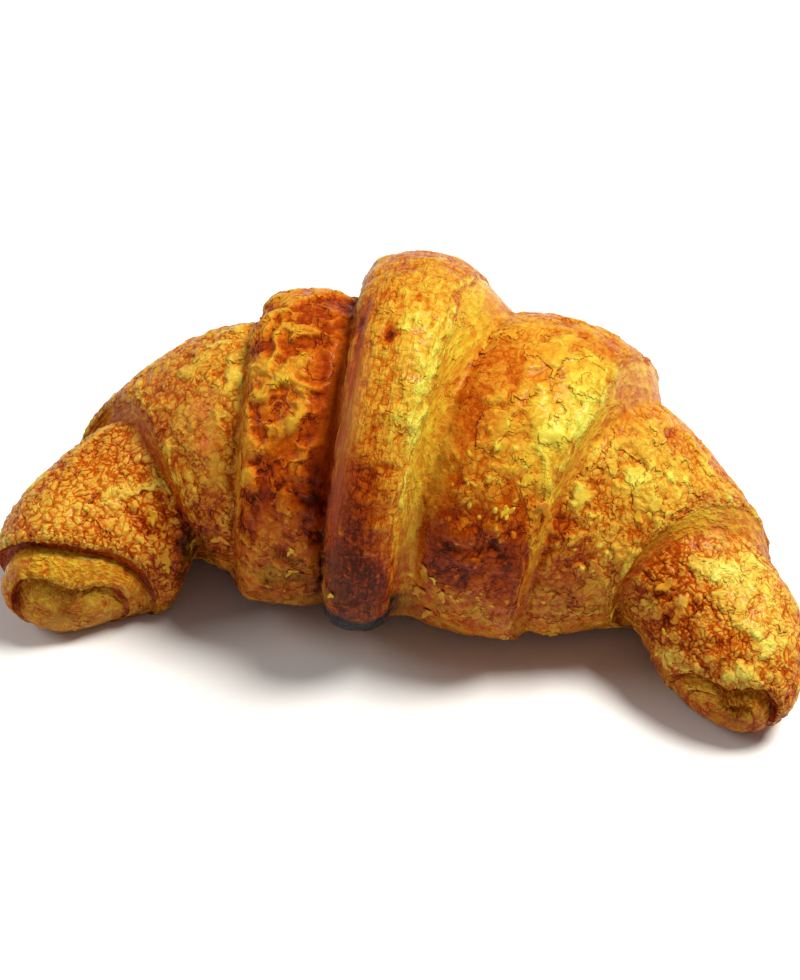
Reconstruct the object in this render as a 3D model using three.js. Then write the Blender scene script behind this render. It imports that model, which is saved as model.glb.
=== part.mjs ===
import * as THREE from 'three';

// A croissant: a tapering log of dough, bent into a crescent and wrapped in bands of dough.
// Each band ends in a lip, where the crust steps down to the next band.
// It lies on its flattened foot, with its horns towards -Y and +X to the right.
// A point of the crust is named by how far it lies along the crust from the middle, and by its
// angle round the log: 0 on the inner side of the crescent, 90 on top, 180 on the outer side.

// Driving dimensions, in millimetres and degrees

// The radius of the dough at places along the spine, from the left tip to the right tip
const LOG_RADII = [
  [-82, 15.6],
  [-70.5, 15.1],
  [-54, 18.8],
  [-36, 26.3],
  [-18, 31.4],
  [0, 34.4],
  [20.5, 33.7],
  [41.5, 29.3],
  [62, 19.5],
  [81, 14.9],
  [94, 13.3],
];

// Each arm of the crescent: the length of its spine, how far the spine has turned by the tip, how
// late it turns, and the length of the rounded end.
const LEFT_ARM = { side: -1, length: 82, turn: 112, lateness: 2.25, endLength: 13.6 };
const RIGHT_ARM = { side: 1, length: 94, turn: 101, lateness: 2.5, endLength: 16.8 };
const END_ROUNDNESS = 2.3;

// The section of the log: its width and the depth of its lower half as shares of the radius, how
// full the foot is, how much of it is flattened, and how much of its height the round end keeps.
const SECTION_WIDTH = 0.94;
const SECTION_DEPTH = 0.93;
const FOOT_FULLNESS = 0.85;
const FOOT_FLATTENING = 1.5;
const END_LIFT = 0.75;

// Hollows (positive depths) and bulges (negative) low on the inner side of the crescent
const INNER_HOLLOWS = [
  { at: -62, depth: -4, reach: 11 },
  { at: -42, depth: 7, reach: 8 },
  { at: 58, depth: 6, reach: 14 },
];
const HOLLOW_ANGLE = -40;

// The lips of the bands, from left to right. Each one has the place of its foot along the crust,
// how far it runs to the right on the inner side and on top, how far it bows to the right between
// them, how high it rises, the width of its wall, how much wider the wall flares on the back, and
// the side that lies low: -1 to the left of the lip, 1 to the right.
const LIPS = [
  { at: -83.6, inner: 1.3, top: -5.5, bow: -2.7, rise: 1.8, wall: 1, flare: 0, low: -1 },
  { at: -75, inner: 3, top: -7.3, bow: -2.2, rise: 2.4, wall: 1.2, flare: 0, low: -1 },
  { at: -53.8, inner: 7.1, top: -1.1, bow: -3.5, rise: 3, wall: 2.5, flare: 0, low: -1 },
  { at: -33.7, inner: -0.2, top: 3.9, bow: -1.5, rise: 2.8, wall: 2.5, flare: 0, low: -1 },
  { at: -8.9, inner: 1, top: -1, bow: 0, rise: 6.7, wall: 2, flare: 0, low: -1 },
  { at: 13.4, inner: -4, top: 4.6, bow: -1.2, rise: 6.5, wall: 3.8, flare: 3.6, low: 1 },
  { at: 42.1, inner: -4.7, top: 4.9, bow: 0.3, rise: 3.4, wall: 3, flare: 2.2, low: 1 },
  { at: 68, inner: -6.4, top: 1.8, bow: 1.2, rise: 3, wall: 2.5, flare: 1.5, low: 1 },
  { at: 94.5, inner: -3.9, top: 6.2, bow: 3.1, rise: 2.2, wall: 1.2, flare: 0, low: 1 },
  { at: 99, inner: -3, top: 4.5, bow: 2, rise: 1.4, wall: 1, flare: 0, low: 1 },
];

// The bands between the lips, from left to right: how far each one bulges between its lips, how
// full its shoulders are (2 is a plain arch), how proud its edges lie of the log, and its columns
// of facets.
const BANDS = [
  { bulge: 0.2, fullness: 2, proud: 0, columns: 5 },
  { bulge: 0.3, fullness: 2, proud: 0, columns: 4 },
  { bulge: 0.6, fullness: 2, proud: 0, columns: 12 },
  { bulge: 0.8, fullness: 2, proud: 0, columns: 9 },
  { bulge: 1.6, fullness: 3, proud: 0.1, columns: 10 },
  { bulge: 3.2, fullness: 2.6, proud: -0.8, columns: 14 },
  { bulge: 1.2, fullness: 2, proud: 0.5, columns: 10 },
  { bulge: 0.8, fullness: 2, proud: 0, columns: 10 },
  { bulge: 0.6, fullness: 2, proud: 0, columns: 10 },
  { bulge: 0.3, fullness: 2, proud: 0, columns: 4 },
  { bulge: 0.2, fullness: 2, proud: 0, columns: 5 },
];

// The lips are pressed flat under the loaf: the share of their rise that is left there, and how
// low on the log, as the sine of the angle, they start and finish flattening.
const RISE_UNDERNEATH = 0.2;
const FLATTENS_FROM = 0.25;
const FLATTENS_TO = 0.85;

// Where on the back the walls flare most
const FLARE_ANGLE = 120;

// Lumps of the crust: waves in directions spread evenly over a sphere
const LUMPS = { waves: 12, height: 0.28, shortest: 9, longest: 17 };
const GOLDEN_ANGLE = Math.PI * (3 - Math.sqrt(5));

const ROWS = 48;
const PROFILE_STEPS = 400;
const SPINE_STEP = 0.25;
const SPINE_BEYOND_TIP = 5;

const CRUST_COLOUR = 0xb8691f;
const CRUST_ROUGHNESS = 0.45;

const { clamp, degToRad, lerp, smoothstep } = THREE.MathUtils;

const armOf = (place) => (place < 0 ? LEFT_ARM : RIGHT_ARM);

// The spine's heading, turned from +X, at a distance from the middle
function headingAt(arm, distance) {
  const share = Math.min(distance / arm.length, 1);
  return -arm.side * degToRad(arm.turn) * share ** arm.lateness;
}

// Points of an arm's spine, one for each step from the middle to a little beyond the tip
function traceSpine(arm) {
  const points = [new THREE.Vector2()];
  const steps = (arm.length + SPINE_BEYOND_TIP) / SPINE_STEP;
  for (let i = 0; i < steps; i++) {
    const heading = headingAt(arm, (i + 0.5) * SPINE_STEP);
    const stride = new THREE.Vector2(Math.cos(heading), Math.sin(heading));
    points.push(points[i].clone().addScaledVector(stride, arm.side * SPINE_STEP));
  }
  return points;
}

const SPINES = new Map([LEFT_ARM, RIGHT_ARM].map((arm) => [arm, traceSpine(arm)]));

// The point and the heading of the spine at a signed distance s from the middle
function spineAt(s) {
  const arm = armOf(s);
  const steps = Math.abs(s) / SPINE_STEP;
  const i = Math.floor(steps);
  const spine = SPINES.get(arm);
  const point = spine[i].clone().lerp(spine[i + 1], steps - i);
  return { point, heading: headingAt(arm, Math.abs(s)) };
}

// The log's profile from tip to tip, with closer samples towards the tips. Each sample holds its
// place on the spine, its radius with and without the rounding of the end, how far along the
// crust it lies from the middle, and the outward direction as a share of s and a share of radius.
function traceProfile() {
  const corners = LOG_RADII.map(([s, radius]) => new THREE.Vector2(s, radius));
  const spline = new THREE.SplineCurve(corners);
  const samples = [];
  for (let i = 0; i <= PROFILE_STEPS; i++) {
    const { x: s, y: fullRadius } = spline.getPoint((1 - Math.cos((Math.PI * i) / PROFILE_STEPS)) / 2);
    const arm = armOf(s);
    const intoEnd = clamp(1 + (Math.abs(s) - arm.length) / arm.endLength, 0, 1);
    const radius = fullRadius * (1 - intoEnd ** END_ROUNDNESS) ** (1 / END_ROUNDNESS);
    samples.push({ s, radius, fullRadius, along: 0 });
  }
  for (let i = 1; i <= PROFILE_STEPS; i++) {
    const from = samples[i - 1];
    const to = samples[i];
    to.along = from.along + Math.hypot(to.s - from.s, to.radius - from.radius);
  }
  const middle = samples[PROFILE_STEPS / 2].along;
  samples.forEach((sample, i) => {
    const before = samples[Math.max(i - 1, 0)];
    const after = samples[Math.min(i + 1, PROFILE_STEPS)];
    const run = new THREE.Vector2(after.s - before.s, after.radius - before.radius).normalize();
    sample.along -= middle;
    sample.outS = -run.y;
    sample.outRadius = run.x;
  });
  return samples;
}

const PROFILE = traceProfile();
const LEFT_END = PROFILE[0].along;
const RIGHT_END = PROFILE[PROFILE_STEPS].along;

function profileAt(along) {
  const next = PROFILE.findIndex((sample) => sample.along > along);
  const i = next === -1 ? PROFILE_STEPS - 1 : Math.max(next - 1, 0);
  const from = PROFILE[i];
  const to = PROFILE[i + 1];
  const share = clamp((along - from.along) / (to.along - from.along), 0, 1);
  const mix = (key) => lerp(from[key], to[key], share);
  return {
    s: mix('s'),
    radius: mix('radius'),
    fullRadius: mix('fullRadius'),
    outS: mix('outS'),
    outRadius: mix('outRadius'),
  };
}

// How deep the crust lies under the round section, low on the inner side
function hollowAt(along, angle) {
  const facing = Math.max(Math.cos(angle - degToRad(HOLLOW_ANGLE)), 0) ** 2;
  const depths = INNER_HOLLOWS.map(
    (hollow) => hollow.depth * Math.exp(-(((along - hollow.at) / hollow.reach) ** 2))
  );
  return facing * depths.reduce((sum, depth) => sum + depth, 0);
}

// The point of the crust at a place along it and an angle round it, raised by an offset
function crustPoint(along, angle, offset) {
  const log = profileAt(along);
  const { point, heading } = spineAt(log.s + offset * log.outS);
  const raised = log.radius + offset * log.outRadius - hollowAt(along, angle);
  const radius = Math.max(raised, 0);
  const centre = SECTION_DEPTH * lerp(log.radius, log.fullRadius, END_LIFT) - FOOT_FLATTENING;
  const inward = Math.cos(angle) * SECTION_WIDTH * radius;
  const sine = Math.sin(angle);
  const up = sine > 0 ? sine * radius : -((-sine) ** FOOT_FULLNESS) * SECTION_DEPTH * radius;
  return new THREE.Vector3(
    point.x + Math.sin(heading) * inward,
    point.y - Math.cos(heading) * inward,
    Math.max(centre + up, 0)
  );
}

// The height of the lumps at a point
function lumpAt(point) {
  let height = 0;
  for (let i = 0; i < LUMPS.waves; i++) {
    const share = (i + 0.5) / LUMPS.waves;
    const level = 1 - 2 * share;
    const ring = Math.sqrt(1 - level * level);
    const turn = i * GOLDEN_ANGLE;
    const direction = new THREE.Vector3(ring * Math.cos(turn), ring * Math.sin(turn), level);
    const wavelength = lerp(LUMPS.shortest, LUMPS.longest, share);
    height += LUMPS.height * Math.sin((2 * Math.PI * direction.dot(point)) / wavelength + i);
  }
  return height;
}

// The share of a lip's rise that is left at an angle
function riseShare(angle) {
  const flattened = smoothstep(-Math.sin(angle), FLATTENS_FROM, FLATTENS_TO);
  return lerp(1, RISE_UNDERNEATH, flattened);
}

// Where the foot and the crest of a lip lie along the crust at an angle
function lipAt(lip, angle) {
  const slant = lip.inner * Math.cos(angle) + lip.top * Math.sin(angle);
  const foot = lip.at + slant + lip.bow * Math.sin(2 * angle);
  const flare = lip.flare * Math.max(Math.cos(angle - degToRad(FLARE_ANGLE)), 0) ** 2;
  const crest = foot - lip.low * (lip.wall + flare);
  return { foot, crest, halfRise: (lip.rise / 2) * riseShare(angle) };
}

// The two ends of a band at an angle: where each lies along the crust, and its offset
function bandEnds(index, angle) {
  const before = LIPS[index - 1];
  const after = LIPS[index];
  const start = { along: LEFT_END, offset: 0 };
  const end = { along: RIGHT_END, offset: 0 };
  if (before) {
    const { foot, crest, halfRise } = lipAt(before, angle);
    const high = before.low < 0;
    start.along = high ? crest : foot;
    start.offset = high ? halfRise : -halfRise;
  }
  if (after) {
    const { foot, crest, halfRise } = lipAt(after, angle);
    const high = after.low > 0;
    end.along = high ? crest : foot;
    end.offset = high ? halfRise : -halfRise;
  }
  return { start, end };
}

// One ring of points round the log, at a share of the way across a band
function ring(index, share) {
  const band = BANDS[index];
  const points = [];
  for (let row = 0; row < ROWS; row++) {
    const angle = (2 * Math.PI * row) / ROWS;
    const { start, end } = bandEnds(index, angle);
    const along = lerp(start.along, end.along, share);
    const bulge = band.bulge * (1 - Math.abs(2 * share - 1) ** band.fullness);
    const offset = lerp(start.offset, end.offset, share) + bulge + band.proud;
    const lump = lumpAt(crustPoint(along, angle, 0));
    points.push(crustPoint(along, angle, offset + lump));
  }
  return points;
}

// The rings of all bands from tip to tip, without the two tips themselves
function crustRings() {
  const rings = [];
  BANDS.forEach((band, index) => {
    const first = index === 0 ? 1 : 0;
    const last = index === BANDS.length - 1 ? band.columns - 1 : band.columns;
    for (let column = first; column <= last; column++) {
      rings.push(ring(index, column / band.columns));
    }
  });
  return rings;
}

// The crust as one closed surface: the rings, with a fan of facets on each tip
function crustGeometry() {
  const rings = crustRings();
  const points = [...rings.flat(), crustPoint(LEFT_END, 0, 0), crustPoint(RIGHT_END, 0, 0)];
  const leftTip = points.length - 2;
  const rightTip = points.length - 1;
  const lastRing = (rings.length - 1) * ROWS;
  const facets = [];
  for (let row = 0; row < ROWS; row++) {
    const next = (row + 1) % ROWS;
    facets.push(leftTip, row, next);
    facets.push(rightTip, lastRing + next, lastRing + row);
    for (let here = 0; here < lastRing; here += ROWS) {
      const there = here + ROWS;
      facets.push(here + row, there + row, here + next);
      facets.push(here + next, there + row, there + next);
    }
  }
  const geometry = new THREE.BufferGeometry().setFromPoints(points);
  geometry.setIndex(facets);
  geometry.computeVertexNormals();
  return geometry;
}

// Moves a geometry so that the middle of its box, seen from above, is at the origin
function centreOnOrigin(geometry) {
  geometry.computeBoundingBox();
  const middle = geometry.boundingBox.getCenter(new THREE.Vector3());
  return geometry.translate(-middle.x, -middle.y, 0);
}

const crust = new THREE.MeshStandardMaterial({
  color: CRUST_COLOUR,
  roughness: CRUST_ROUGHNESS,
  metalness: 0,
});
const croissant = new THREE.Mesh(centreOnOrigin(crustGeometry()), crust);
croissant.name = 'croissant';

const model = new THREE.Group();
model.add(croissant);

export default model;
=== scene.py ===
"""A baked croissant: its browned, crackled crust, its loose flakes and a studio stage."""
import math
from typing import NamedTuple

import bpy
import numpy as np
from mathutils import Matrix, Vector


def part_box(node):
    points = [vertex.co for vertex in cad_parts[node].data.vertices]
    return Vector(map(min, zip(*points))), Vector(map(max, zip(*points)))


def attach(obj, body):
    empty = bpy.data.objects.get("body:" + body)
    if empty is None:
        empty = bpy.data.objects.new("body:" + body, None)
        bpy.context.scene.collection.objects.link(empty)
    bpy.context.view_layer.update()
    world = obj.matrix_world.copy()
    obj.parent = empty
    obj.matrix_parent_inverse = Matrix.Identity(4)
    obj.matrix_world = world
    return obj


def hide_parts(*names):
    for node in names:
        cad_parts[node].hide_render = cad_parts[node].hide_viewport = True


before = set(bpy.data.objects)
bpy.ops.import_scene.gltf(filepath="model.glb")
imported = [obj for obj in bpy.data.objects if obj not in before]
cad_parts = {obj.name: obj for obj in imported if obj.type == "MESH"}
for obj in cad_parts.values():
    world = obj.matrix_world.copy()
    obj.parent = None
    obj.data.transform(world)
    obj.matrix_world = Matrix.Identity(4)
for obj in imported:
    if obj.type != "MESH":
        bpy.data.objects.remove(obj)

bl_info = {
    "name": "Croissant",
    "version": (1, 0, 0),
    "blender": (4, 5, 0),
    "location": "View3D > Sidebar > Croissant",
    "description": "Makes the crust of a baked croissant, its loose flakes and a studio stage",
    "category": "Object",
}

MM = 0.001
NODE = "croissant"

# The log of dough, in millimetres and degrees.
# A point of the crust is named by how far it lies along the crust from the middle, and by its
# angle round the log: 0 on the inner side of the crescent, 90 on top, 180 on the outer side.

# The radius of the dough at places along the spine, from the left tip to the right tip
LOG_RADII = (
    (-82, 15.6), (-70.5, 15.1), (-54, 18.8), (-36, 26.3), (-18, 31.4), (0, 34.4),
    (20.5, 33.7), (41.5, 29.3), (62, 19.5), (81, 14.9), (94, 13.3),
)
END_ROUNDNESS = 2.3

# The section of the log, as in the solid that this crust covers
SECTION_WIDTH = 0.94
SECTION_DEPTH = 0.93
FOOT_FULLNESS = 0.85
FOOT_FLATTENING = 1.5
END_LIFT = 0.75
HOLLOW_ANGLE = -40
RISE_UNDERNEATH = 0.2
FADE_WIDTH = 0.6

# Where on the back the walls flare most, and how much less a flared lip curls
FLARE_ANGLE = 120
FLARED_CURL = 0.6


class Arm(NamedTuple):
    """One arm of the crescent, with the turn of its spine by the tip."""
    side: int
    length: float
    turn: float
    lateness: float
    end_length: float


class Hollow(NamedTuple):
    """A hollow, or a bulge if its depth is negative, low on the inner side."""
    at: float
    depth: float
    reach: float


class Lip(NamedTuple):
    """The edge of a band, with its rise and the wall of layers under it.

    It fades out where the sine of the angle falls to a given value.
    """
    at: float
    inner: float
    top: float
    bow: float
    rise: float
    wall: float
    flare: float
    low: int
    curl: float
    undercut: float
    layers: int
    ragged: float
    columns: int
    fades: float
    bake: float


class Band(NamedTuple):
    """The crust between two lips, and how its surface is baked."""
    bulge: float
    fullness: float
    proud: float
    columns: int
    bake: float
    crackle: float
    wrinkle: float
    gloss: float
    skin: float
    streaks: float


class Patch(NamedTuple):
    """A soft patch on the crust, by its place, its half widths and its strength."""
    along: float
    angle: float
    length: float
    spread: float
    strength: float


def patches(*rows):
    """Patches from rows of their values."""
    return [Patch(*row) for row in rows]


ARMS = (Arm(-1, 82, 112, 2.25, 13.6), Arm(1, 94, 101, 2.5, 16.8))
HOLLOWS = (Hollow(-62, -4, 11), Hollow(-42, 7, 8), Hollow(58, 6, 14))

# The last number of each lip is how far its wall is baked; the high numbers at the two tips are partly
# painted shade in the grooves under their overhanging lips
LIPS = (
    Lip(-83.6, 1.3, -5.5, -2.7, 2.2, 0.9, 0, -1, 1.0, 0.4, 2, 0.25, 6, -0.25, 0.78),
    Lip(-75, 3.0, -7.3, -2.2, 3.0, 1.1, 0, -1, 1.2, 0.6, 3, 0.25, 7, 0.0, 0.78),
    Lip(-53.8, 7.1, -1.1, -3.5, 3.0, 2.5, 0, -1, 2.2, 0.8, 3, 0.6, 8, -0.55, 0.62),
    Lip(-33.7, -0.2, 3.9, -1.5, 2.8, 2.5, 0, -1, 2.5, 0.9, 3, 0.6, 8, -0.55, 0.5),
    Lip(-8.9, -0.8, -1.2, 1.6, 6.2, 2.0, 0, -1, 3.5, 1.3, 4, 0.45, 9, -0.55, 0.55),
    Lip(13.4, -4, 4.6, -1.2, 6.4, 3.8, 3.6, 1, 2.6, 1.8, 4, 0.45, 11, -0.55, 0.38),
    Lip(42.1, -4.7, 4.9, 0.3, 3.4, 3.0, 2.2, 1, 2.0, 1.0, 3, 0.5, 8, -0.55, 0.41),
    Lip(68, -6.4, 1.8, 1.2, 3.0, 2.5, 1.5, 1, 1.8, 0.9, 3, 0.5, 8, -0.55, 0.56),
    Lip(94.5, -3.9, 6.2, 3.1, 2.2, 1.0, 0, 1, 0.9, 0.5, 3, 0.25, 7, -0.15, 0.74),
    Lip(99, -3, 4.5, 2, 1.2, 0.8, 0, 1, 0.8, 0.3, 2, 0.25, 5, 0.5, 0.7),
)

BANDS = (
    Band(0.2, 2, 0, 12, 0.28, 0.4, 0.3, 0.4, 0.1, 0.6),
    Band(0.3, 2, 0, 10, 0.32, 0.3, 0.3, 0.4, 0.1, 0.6),
    Band(0.6, 2, 0, 54, 0.18, 1.0, 0.25, 0.1, 0.15, 0.1),
    Band(0.8, 2, 0, 40, 0.2, 0.8, 0.4, 0.3, 0.2, 0.1),
    Band(1.6, 3, 0.1, 46, 0.46, 0.35, 1.0, 0.3, 0.35, 0.1),
    Band(3.2, 2.6, -0.8, 42, 0.30, 0.55, 0.35, 0.2, 0.12, 0.45),
    Band(1.2, 2, 0.5, 52, 0.35, 0.4, 0.45, 0.5, 0.2, 0.1),
    Band(0.8, 2, 0, 48, 0.25, 0.7, 0.45, 0.2, 0.25, 0.1),
    Band(0.6, 2, 0, 48, 0.25, 1.0, 0.25, 0.1, 0.15, 0.1),
    Band(0.3, 2, 0, 10, 0.38, 0.3, 0.3, 0.4, 0.1, 0.6),
    Band(0.2, 2, 0, 12, 0.38, 0.4, 0.3, 0.4, 0.1, 0.6),
)

# Where the crust is baked browner than its band, or paler where the strength is negative. Some of these
# patches are partly painted light: the pale ones high on the right-hand bands are painted highlight
# where the light falls, the dark ones low on the flanks are painted shade, and the dark strip beside the
# middle band's left lip is painted shadow cast by that band.
BAKED_AND_LIT_PATCHES = patches(
    (-11, 50, 3, 50, 0.2), (-22, 24, 5, 10, 0.42), (-13, 16, 4, 12, 0.25),
    (-21, 62, 7, 30, -0.1), (-2, 24, 7, 14, 0.38), (-2, -3, 8, 15, 0.64),
    (8, 62, 6, 40, -0.26), (8.5, 6, 2, 34, -0.36), (16, 8, 6, 16, 0.4),
    (15.5, 50, 3.5, 34, 0.17), (29, 14, 8, 15, 0.42), (34, 50, 6, 20, -0.28),
    (38, 74, 6, 22, -0.32), (26, 92, 9, 16, -0.1), (44, 24, 5, 12, 0.22),
    (54, 74, 9, 32, -0.16), (81, 74, 9, 20, -0.2), (86, 112, 14, 30, -0.3),
    (79, 88, 5, 14, -0.2), (74, 28, 8, 22, 0.14), (60, 100, 8, 22, -0.12),
    (-50, 14, 5, 16, 0.35), (-48, -8, 9, 16, 0.5), (-38, 14, 6, 14, 0.15),
    (-6, 58, 2.5, 30, 0.2), (-76, 96, 9, 30, -0.1), (90, 14, 8, 18, -0.2),
    (81, 52, 6, 16, 0.16), (-40, 52, 4, 24, 0.1),
)

# Where a wall is baked browner than the rest of it, or paler where the strength is negative
WALL_BAKING = patches(
    (68, 95, 10, 42, -0.22), (66, 18, 8, 20, 0.12), (-54, 100, 8, 42, -0.08),
    (-10, 30, 6, 40, 0.1), (15, 90, 8, 30, -0.08),
)

# Where the lower flanks stay smooth, greenish gold and blistered
OLIVE_PATCHES = patches(
    (-20, -10, 11, 9, 0.8), (-9, -10, 4, 8, 0.7), (22, -16, 12, 8, 0.7),
    (44, -10, 8, 10, 0.7), (56, 0, 8, 12, 0.6), (-46, -6, 8, 14, 0.5),
    (64, -14, 8, 14, 0.7), (88, -10, 12, 14, 0.5), (-84, -24, 8, 14, 0.4),
)

# Where a blue-black shadow is painted under the end of the middle band, over its darkly baked foot
BURNT_FOOT_SHADOW_PATCHES = patches((-6, -20, 5, 4, 1.8), (1, -22, 6, 4, 1.8), (-2, -29, 9, 8, 1.6))

# Where the crust is smooth
SMOOTH_PATCHES = patches(
    (-9.5, 50, 3, 50, 1.0), (-5, 45, 2.5, 38, 1.0), (14, 42, 3, 36, 0.9),
    (-1, -4, 9, 18, 0.3), (44, 100, 4, 16, 0.8), (8, -6, 5, 20, 0.6),
    (-39, 50, 2.5, 22, 0.7), (-18, -2, 8, 10, 0.2), (30, 0, 9, 12, 0.2),
)

# Where small glossy beads stand on the crust
BEAD_PATCHES = patches(
    (24, 26, 10, 26, 1.0), (50, 22, 9, 20, 0.9), (0, 4, 6, 14, 0.5),
    (-16, 6, 8, 16, 0.5), (22, -8, 12, 14, 0.9), (48, -6, 10, 14, 0.9),
    (-46, 20, 7, 18, 0.4), (66, 0, 6, 20, 0.5), (-20, -14, 10, 14, 0.7),
    (-4, 2, 8, 20, 0.5), (10, -12, 5, 12, 0.6), (60, -14, 8, 14, 0.7),
)

# Where loose flakes of crust lie
FLAKE_PATCHES = patches(
    (52, 20, 7, 26, 1.0), (46, -6, 7, 12, 0.8), (19, 84, 3.0, 9, 0.7),
    (12, -14, 5, 10, 0.9), (-16, -12, 8, 10, 0.6), (-46, -4, 7, 12, 0.5),
    (74, 10, 6, 24, 0.5), (-60, 30, 5, 22, 0.5), (33, 20, 5, 16, 0.5),
    (20, 160, 10, 24, 0.5), (-30, 170, 12, 24, 0.5),
)

# Where a dull purple sheen is painted on the smooth crust: a painted reflection of a soft light
PAINTED_SHEEN_PATCHES = patches(
    (-5, 40, 2.2, 34, 0.9), (-40, 52, 2.5, 16, 0.8), (-54, 84, 5, 20, 0.2),
    (44, 102, 4, 14, 0.35), (69, 98, 4, 16, 0.5), (-46, 98, 4, 14, 0.5),
)

# Plates of thin skin that lie on the crust
PLATES = patches(
    (50, 82, 4.5, 11, 1.0), (58, 66, 4, 10, 0.9), (30, 86, 5, 9, 0.8),
    (-20, 40, 5, 12, 0.9), (-72, 58, 4.5, 18, 0.9), (-44, 66, 4, 14, 0.8),
    (82, 78, 4, 20, 0.8), (22, 50, 4, 9, 0.7), (-26, 66, 4, 10, 0.7),
    (60, 34, 4, 12, 0.7), (20, 130, 6, 14, 0.9), (-24, 140, 6, 14, 0.9),
)

# The points of a ring, closest together near one angle, and the steps of the profile and the spine
ROWS = 216
DENSEST_ANGLE = 65
DENSITY = 0.5
PROFILE_STEPS = 400
SPINE_STEP = 0.25
SPINE_MARGIN = 6

# The crease at the foot of a wall, the streaked rim of a lip and the layers of a wall
CREASE = 1.1
CREASE_DEPTH = 0.45
RIM = 2.6
EDGE_DROP = 0.5
LAYER_STEP = 0.08
WALL_FULLNESS = 1.6
WALL_ROUNDNESS = 1.5
FLARED_ROUNDNESS = 1.1
WALL_STREAKS = 0.6
WALL_GLOSS = 0.5
WALL_SHADE = 0.16

# How far apart the rings of a wall lie in the pattern of streaks, and how long the streaks are
WALL_SPACING = 0.45
STREAK_LENGTH = 7

# Cracks and holes in the crust, or single bubbles where the strength is positive, in millimetres
DENTS = patches(
    (0.6, 72, 1.1, 2.6, -1.3), (-5.2, 76, 0.8, 9, -0.9), (-4.8, 58, 0.7, 6, -0.5),
    (18, 14, 1.6, 3, 0.9), (22, 6, 1.2, 2.5, 0.6), (-18, -4, 2.5, 5, 0.9),
    (-12, -8, 2, 4, 0.7), (30, 60, 3, 5, 0.5), (49, 90, 3, 8, 0.5),
    (-64, 40, 1.0, 14, -0.5), (-71, 72, 0.8, 12, -0.5), (78, 30, 0.9, 12, -0.5),
    (92, 74, 0.8, 14, -0.5), (54, 106, 0.8, 10, -0.5), (25, 78, 1.0, 9, -0.4),
)

# The waves that move a lip to and fro, counted round the log, and their seeds
LIP_WAVES = (2, 3, 5, 8, 13, 21, 34, 55)
WAVE_FALL = 0.6
FOOT_RAGGEDNESS = 0.6
LAYER_RAGGEDNESS = 0.4
FOOT_SEED = 10
CREST_SEED = 60
LAYER_SEED = 90

# How wide a crack is, as a share of an island, in the relief and in the colours, and how wide
# the rounded edge of an island is in the colours
RELIEF_CRACK = 0.4
COLOUR_CRACK = 0.16
DOME_WIDTH = 1.0

# How wide the thin cracks are in the relief and in the colours
RELIEF_THIN_CRACK = 0.05
COLOUR_THIN_CRACK = 0.022

# How much of each pattern's height is sunk in the crust
SUNK_ISLANDS = 0.7
SUNK_CRACKS = 0.8
SUNK_FOLDS = 0.4
SUNK_BLISTERS = 0.4

# The foot stays flat below this height, in metres
FLAT_FOOT = 0.0008

# The darkest that the crust is baked, the painted shade that darkens its lower flanks, and the painted
# shade that darkens its cracks and holes
DARKEST = 0.85
FLANK_PAINTED_SHADE = 0.16
DENT_PAINTED_SHADE = 0.5

# How often the patterns of the colours repeat, per metre
CLOUD_SCALE = 110
SPOT_SCALE = 420
GRAIN_SCALE = 1300

# How much browner each pattern makes the crust, or paler where the weight is negative; the paleness of
# the beads is partly a painted glint on each
BAKE_WEIGHTS = {
    "clouds": 0.24, "spots": 0.2, "grain": 0.16, "cracks": 0.36, "mottling": 1.3, "edges": 0.26,
    "thin cracks": 0.17, "between folds": 0.36, "grooves": 0.34, "beads": -0.6,
}
PATTERN_MEAN = 0.32
SKIN_PALING = -0.22
SKIN_BAKE = 0.08
# The torn edges of the skin are painted darker, as painted shade under their lifted rims
TORN_EDGE_SHADE = 0.6

# How much each pattern raises the finest relief, or sinks it where the weight is negative
BUMP_WEIGHTS = {
    "islands": 1.0, "grain": 0.3, "spots": 0.5, "thin cracks": -0.3, "beads": 0.8, "folds": 1.0,
    "grooves": -1.0, "skin": 0.8,
}
BUMP_STRENGTH = 0.8
BUMP_HEIGHT = 0.0006

# What each ring of the crust keeps beside its place
LOOKS = ("lay", "wall", "streaks", "bake", "crackle", "wrinkle", "gloss", "skin")


def spline(corners, share):
    """Points of a smooth curve through the corners, at shares of its length in corners."""
    points = np.array(corners, float)
    last = len(points) - 1
    place = share * last
    i = np.minimum(place.astype(int), last - 1)
    t = (place - i)[:, None]
    before = points[np.maximum(i - 1, 0)]
    start = points[i]
    end = points[i + 1]
    after = points[np.minimum(i + 2, last)]
    slope_in = (end - before) / 2
    slope_out = (after - start) / 2
    cubic = 2 * start - 2 * end + slope_in + slope_out
    square = 3 * end - 3 * start - 2 * slope_in - slope_out
    return ((cubic * t + square) * t + slope_in) * t + start


def smoothstep(low, high, x):
    """A soft step from 0 at the low value to 1 at the high value."""
    t = np.clip((x - low) / (high - low), 0, 1)
    return t * t * (3 - 2 * t)


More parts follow.
